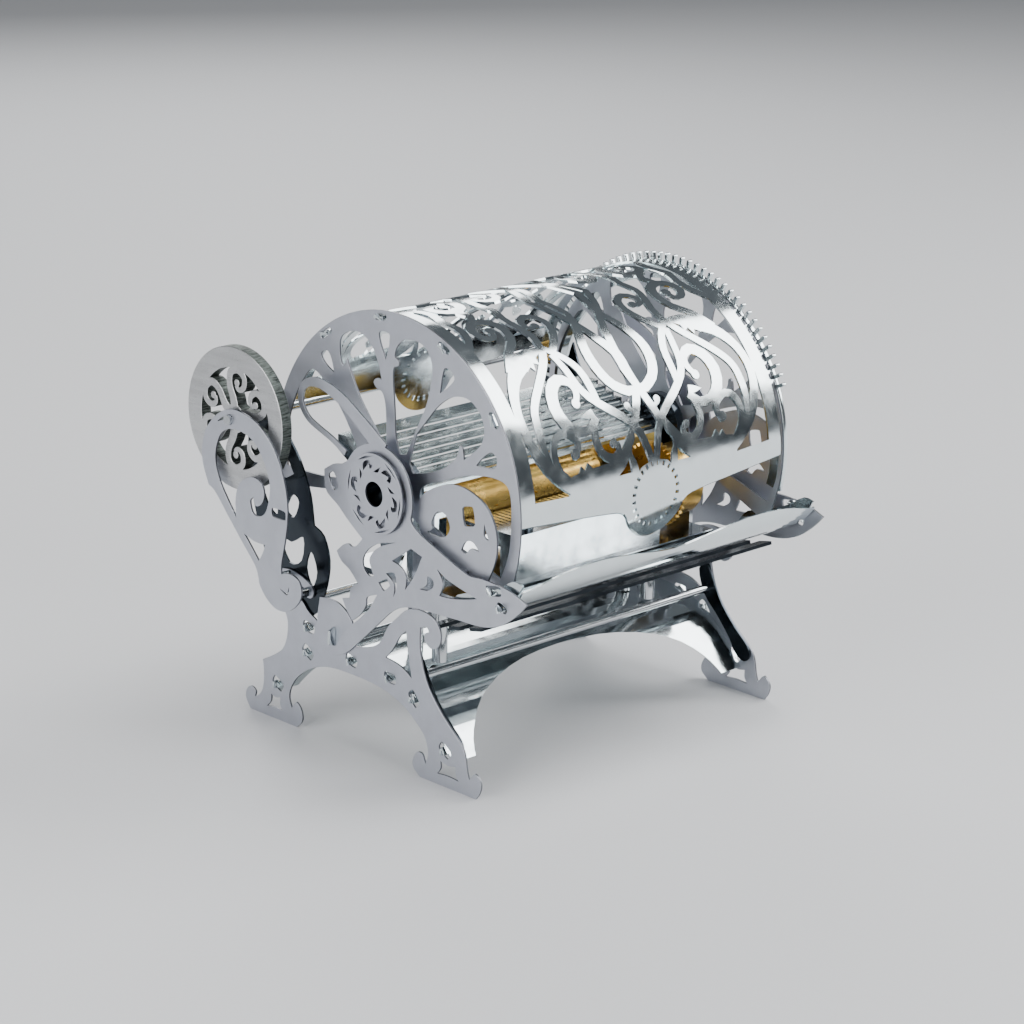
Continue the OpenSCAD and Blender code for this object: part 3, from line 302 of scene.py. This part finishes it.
# %% read a plate's loops
def face_loops(obj, x, keep=0.01 * MM):
    """Closed loops of points [y, z] around the flat faces of obj that lie at this x."""
    mesh = obj.data
    count, step, key = {}, {}, {}

    def merged(i):
        v = mesh.vertices[i].co
        k = (round(v.y * 1e6), round(v.z * 1e6))
        key.setdefault(k, (v.y, v.z))
        return k

    for poly in mesh.polygons:
        if all(abs(mesh.vertices[i].co.x - x) < keep for i in poly.vertices):
            ring = [merged(i) for i in poly.vertices]
            for a, b in zip(ring, ring[1:] + ring[:1]):
                if a != b:
                    count[(a, b)] = True
    for a, b in count:
        if (b, a) not in count:
            step.setdefault(a, []).append(b)
    loops = []
    while step:
        start = next(iter(step))
        here, loop = start, []
        while here in step:
            loop.append(key[here])
            after = step[here].pop()
            if not step[here]:
                del step[here]
            here = after
        if len(loop) > 2:
            loops.append(loop)
    return loops


print("left frame has", len(face_loops(NODES["left_frame"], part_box("left_frame")[0].x)), "loops")

# %% [markdown]
# A measured loop is a chain of short straight lines. Cutting every gentle corner twice turns it into
# a smooth bend, while corners sharper than 33 degrees are real ones and stay. No cut reaches more
# than a quarter of 2.6 mm, so long straight runs stay straight.

# %% round a loop
def rounded(loop, sharp=33, most=2.6):
    """Corner-cut the gentle bends of a loop and keep its real corners and long straight runs."""
    pts = [Vector(p) for p in loop]
    pts = [p for i, p in enumerate(pts) if (p - pts[i - 1]).length > 0.02 * MM]
    for _ in range(2):
        out, n = [], len(pts)
        for i, p in enumerate(pts):
            a, b = pts[i - 1] - p, pts[(i + 1) % n] - p
            turn = 180 - math.degrees(a.angle(b, 0))
            if turn > sharp or turn < 0.5:
                out.append(p)
                continue
            reach = most * MM
            out.append(p + a * min(0.25, 0.25 * reach / max(a.length, 1e-9)))
            out.append(p + b * min(0.25, 0.25 * reach / max(b.length, 1e-9)))
        pts = out
    return pts


print("a square keeps its", len(rounded([(0, 0), (MM, 0), (MM, MM), (0, MM)])), "corners")

# %% [markdown]
# A filled curve with a little bevel gives a flat plate with rounded edges in one step. It is made
# into a mesh, stood up across the barrel axis, and its cut edge is split from its faces so that both
# shade cleanly.

# %% make a plate
def plate(name, body, loops, x, thick, mat, edge):
    """A flat plate from its loops, its middle plane at x, with rounded edges."""
    curve = bpy.data.curves.new(name, "CURVE")
    curve.dimensions, curve.fill_mode = "2D", "BOTH"
    curve.extrude = thick / 2 - edge * MM
    curve.bevel_depth, curve.bevel_resolution, curve.offset = edge * MM, 2, -edge * MM
    for loop in loops:
        pts = rounded(loop)
        spline = curve.splines.new("POLY")
        spline.points.add(len(pts) - 1)
        for point, p in zip(spline.points, pts):
            point.co = (p.x, p.y, 0, 1)
        spline.use_cyclic_u = True
    made = bpy.data.objects.new(name + "_drawn", curve)
    bpy.context.scene.collection.objects.link(made)
    bpy.context.view_layer.update()
    mesh = bpy.data.meshes.new_from_object(made.evaluated_get(bpy.context.evaluated_depsgraph_get()))
    bpy.data.objects.remove(made)
    mesh.transform(Matrix(((0, 0, 1, x), (1, 0, 0, 0), (0, 1, 0, 0), (0, 0, 0, 1))))
    obj = bpy.data.objects.new(name + "_plate", mesh)
    bpy.context.scene.collection.objects.link(obj)
    mesh.materials.clear()
    mesh.materials.append(mat)
    for poly in mesh.polygons:
        poly.use_smooth = True
    obj.modifiers.new("edges", "EDGE_SPLIT").split_angle = math.radians(50)
    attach(obj, body)
    return obj


print("plate tool ready")

# %% redraw the plates
def redraw(name, mat, thick, edge):
    """Replace a CAD plate by one drawn from its outer face's loops; thick and edge in millimetres."""
    obj = NODES[name]
    lo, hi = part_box(name)
    outer = lo.x if abs(lo.x) > abs(hi.x) else hi.x
    loops = face_loops(obj, outer)
    middle = outer - math.copysign(thick / 2 * MM, outer)
    made = plate(name, obj["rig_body"], loops, middle, thick * MM, mat, edge)
    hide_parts(name)
    return made, len(loops)


REDRAWN = {}
for name, mat, thick, edge in (("left_frame", SATIN, 0.6, 0.06), ("right_frame", SATIN, 0.6, 0.06),
                               ("left_bracket", SATIN, 0.6, 0.06), ("right_bracket", SATIN, 0.6, 0.06),
                               ("left_rosette", SATIN, 0.6, 0.05), ("right_rosette", SATIN, 0.6, 0.05),
                               ("leaf_bracket", SATIN, 0.6, 0.06), ("left_disc", SATIN, 0.6, 0.06),
                               ("ring_gear", MIRROR, 1.2, 0.08), ("flywheel", GROUND, 3.2, 0.14)):
    REDRAWN[name], how_many = redraw(name, mat, thick, edge)
    print(name, "redrawn from", how_many, "loops,", len(REDRAWN[name].data.vertices), "points")

# %% [markdown]
# ## Rolled cover
# The cover is one thin sheet rolled round the barrel. Its outer and inner faces are made to shade as
# a true cylinder, so that reflections run smoothly over the whole sheet as they do on polished metal.

# %% rolled cover
AXIS_X, AXIS_Y, AXIS_Z = 3.8 * MM, -5.7 * MM, 70.6 * MM


def rolled_cover(name):
    source = NODES[name]
    mesh = source.data.copy()
    obj = bpy.data.objects.new(name + "_sheet", mesh)
    bpy.context.scene.collection.objects.link(obj)
    work = bmesh.new()
    work.from_mesh(mesh)
    bmesh.ops.remove_doubles(work, verts=work.verts, dist=1e-7)
    work.to_mesh(mesh)
    work.free()
    normals = []
    for poly in mesh.polygons:
        mid = poly.center
        out = Vector((0, mid.y - AXIS_Y, mid.z - AXIS_Z)).normalized()
        on_face = abs(poly.normal.dot(out)) > 0.9 and abs(poly.normal.x) < 0.05
        for i in poly.vertices:
            v = mesh.vertices[i].co
            radial = Vector((0, v.y - AXIS_Y, v.z - AXIS_Z)).normalized()
            outward = radial if poly.normal.dot(out) > 0 else -radial
            normals.append(outward if on_face else poly.normal.copy())
    mesh.normals_split_custom_set(normals)
    mesh.materials.clear()
    mesh.materials.append(MIRROR)
    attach(obj, source["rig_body"])
    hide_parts(name)
    return obj


for name in ("cover_front", "cover_rear"):
    made = rolled_cover(name)
    print(name, "rolled,", len(made.data.polygons), "faces")

# %% [markdown]
# ## Smooth bent sheets
# The arched underside and the tray are bent over formers, so their faces are shaded as one smooth
# bend, while the cut edges stay crisp. The flat pieces that aren't redrawn get the same treatment, so
# that their curved cut edges look round.

# %% bent sheets
for name in ("base_sheet", "tray", "tray_ends", "leg_linings", "rear_bridge", "right_disc", "cheek_plates"):
    obj = NODES[name]
    for poly in obj.data.polygons:
        poly.use_smooth = True
    obj.modifiers.new("crisp_edges", "EDGE_SPLIT").split_angle = math.radians(28)
print("bent sheets smoothed")

# %% [markdown]
# ## Twisted tabs
# Every lock tab is a narrow tongue of the cross sheet, pushed through its window and turned with
# pliers. It is drawn as a strip that narrows and turns by up to 70 degrees along its length.

# %% twisted tabs
def twisted_tab(verts, faces, centre, wide, thick, x0, x1, start, turn):
    """Add a strip from x0 to x1 in millimetres from the barrel axis, turned from start by turn."""
    base, steps = len(verts), 8
    for k in range(steps + 1):
        t = k / steps
        a = math.radians(start + turn * t)
        narrow = 1 - 0.25 * t
        for u, w in ((-1, -1), (1, -1), (1, 1), (-1, 1)):
            p, q = u * wide / 2 * narrow, w * thick / 2
            verts.append(((x0 + (x1 - x0) * t) * MM + AXIS_X,
                          (centre[0] + p * math.cos(a) - q * math.sin(a)) * MM + AXIS_Y,
                          (centre[1] + p * math.sin(a) + q * math.cos(a)) * MM))
    for k in range(steps):
        for j in range(4):
            a, b = base + 4 * k + j, base + 4 * k + (j + 1) % 4
            faces.append((a, b, b + 4, a + 4))
    faces.append(tuple(base + j for j in (3, 2, 1, 0)))
    faces.append(tuple(base + 4 * steps + j for j in range(4)))


TABS = [(27, 21.8, 35), (26.6, 28.6, 10), (38.8, 10, 30), (10.2, 23.9, 15), (-4.3, 23.2, 5),
        (-13.2, 20.1, 50), (-24.6, 9.6, 35)]
verts, faces = [], []
for side in (-1, 1):
    for y, z, turn in TABS:
        twisted_tab(verts, faces, (y, z), 2.4, 0.5, side * 52.6, side * 55.0, turn, 70)
    twisted_tab(verts, faces, (16.6, 28.8), 5.0, 0.8, side * 53.45, side * 55.4, 90, 4)
    twisted_tab(verts, faces, (-41.6, 55.6), 3.2, 0.5, side * 54.0, side * 55.9, 0, 50)
    twisted_tab(verts, faces, (-44.6, 52), 2.4, 0.5, side * 54.0, side * 55.9, 20, 60)
mesh = bpy.data.meshes.new("lock_tabs_twisted")
mesh.from_pydata(verts, [], faces)
tabs = bpy.data.objects.new("lock_tabs_twisted", mesh)
bpy.context.scene.collection.objects.link(tabs)
work = bmesh.new()
work.from_mesh(mesh)
bmesh.ops.recalc_face_normals(work, faces=work.faces)
work.to_mesh(mesh)
work.free()
mesh.materials.append(MIRROR)
soft_edges(tabs, 0.06)
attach(tabs, "case")
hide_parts("lock_tabs")
print("twisted tabs:", len(faces), "faces")

# %% [markdown]
# ## Studio
# The piece stands on a plain pale floor of smooth paper, wide enough to fill the view.

# %% floor
floor_mesh = bpy.data.meshes.new("studio_floor")
floor_mesh.from_pydata([(-3, -3, 0), (3, -3, 0), (3, 3, 0), (-3, 3, 0)], [], [(0, 1, 2, 3)])
floor = bpy.data.objects.new("studio_floor", floor_mesh)
bpy.context.scene.collection.objects.link(floor)
paper, tree, shader, at = new_material("pale_floor_paper", 0.0, 0.6, rgb("#C9CACC"))
grain = node(tree, "TexNoise", {"Vector": at, "Scale": 900.0, "Detail": 3.0, "Roughness": 0.55})
wire(tree, shader, {"Roughness": node(tree, "MapRange", {
    "Value": grain, "From Min": 0.3, "From Max": 0.7, "To Min": 0.55, "To Max": 0.68})})
floor_mesh.materials.append(paper)
print("floor laid")

# %% [markdown]
# Polished sheet shows the lamps themselves, so they are large and soft. The right bank is the one
# that the front of the rolled cover mirrors towards the camera; the left bank lights the satin frame.

# %% lights
def soft_light(name, place, aim, size, watts):
    data = bpy.data.lights.new(name, "AREA")
    data.shape, data.size, data.size_y, data.energy = "RECTANGLE", size[0], size[1], watts
    lamp = bpy.data.objects.new(name, data)
    bpy.context.scene.collection.objects.link(lamp)
    lamp.location = place
    lamp.rotation_euler = (Vector(aim) - Vector(place)).to_track_quat("-Z", "Y").to_euler()


HEART = (0, 0, 0.06)
soft_light("left_bank", (-0.9, 0.05, 0.35), HEART, (0.7, 0.7), 9)
soft_light("front_bank", (0.1, -1.0, 0.35), HEART, (0.7, 0.5), 7)
soft_light("right_bank", (0.85, -0.38, 0.62), HEART, (0.6, 0.9), 13)
soft_light("top_bank", (0.1, -0.25, 1.0), HEART, (0.6, 0.6), 8)
soft_light("rear_bank", (0.5, 0.8, 0.5), HEART, (0.5, 0.5), 4)
print("four banks and a rear light hung")

# %% [markdown]
# The surroundings are a dim grey that brightens a little overhead, so that every bend in the metal
# keeps its contrast.

# %% surroundings
world = bpy.data.worlds.new("studio")
bpy.context.scene.world = world
world.use_nodes = True
wt = world.node_tree
wt.nodes.clear()
up = node(wt, "SeparateXYZ", {"Vector": node(wt, "TexCoord").outputs["Generated"]})
height = node(wt, "MapRange", {"Value": up.outputs["Z"], "From Min": -0.2, "From Max": 0.9})
tone = node(wt, "Mix", {0: height, 6: rgb("#4A4D52"), 7: rgb("#8D9298")}, data_type="RGBA")
node(wt, "OutputWorld", {"Surface": node(wt, "Background", {"Color": tone.outputs[2], "Strength": 0.55})})
print("surroundings set")

# %% [markdown]
# The camera looks down on the left front corner with a long lens, 120 mm on a full frame, from a
# little under a metre away, and leans by one degree.

# %% camera
cam_data = bpy.data.cameras.new("camera")
cam_data.lens, cam_data.sensor_width = 120.2, 36.0
cam_data.clip_start, cam_data.clip_end = 0.05, 20
cam = bpy.data.objects.new("camera", cam_data)
bpy.context.scene.collection.objects.link(cam)
cam.location = (-0.5924, -0.6053, 0.3160)
az, el, roll = math.radians(-44.484), math.radians(17.173), math.radians(0.974)
back_dir = Vector((math.sin(az) * math.cos(el), -math.cos(az) * math.cos(el), math.sin(el)))
right = (-back_dir).cross(Vector((0, 0, 1))).normalized()
upward = right.cross(-back_dir).normalized()
turned_right = math.cos(roll) * right + math.sin(roll) * upward
turned_up = -math.sin(roll) * right + math.cos(roll) * upward
cam.rotation_euler = Matrix((turned_right, turned_up, back_dir)).transposed().to_euler()
bpy.context.scene.camera = cam
print("camera at", tuple(round(c, 3) for c in cam.location))
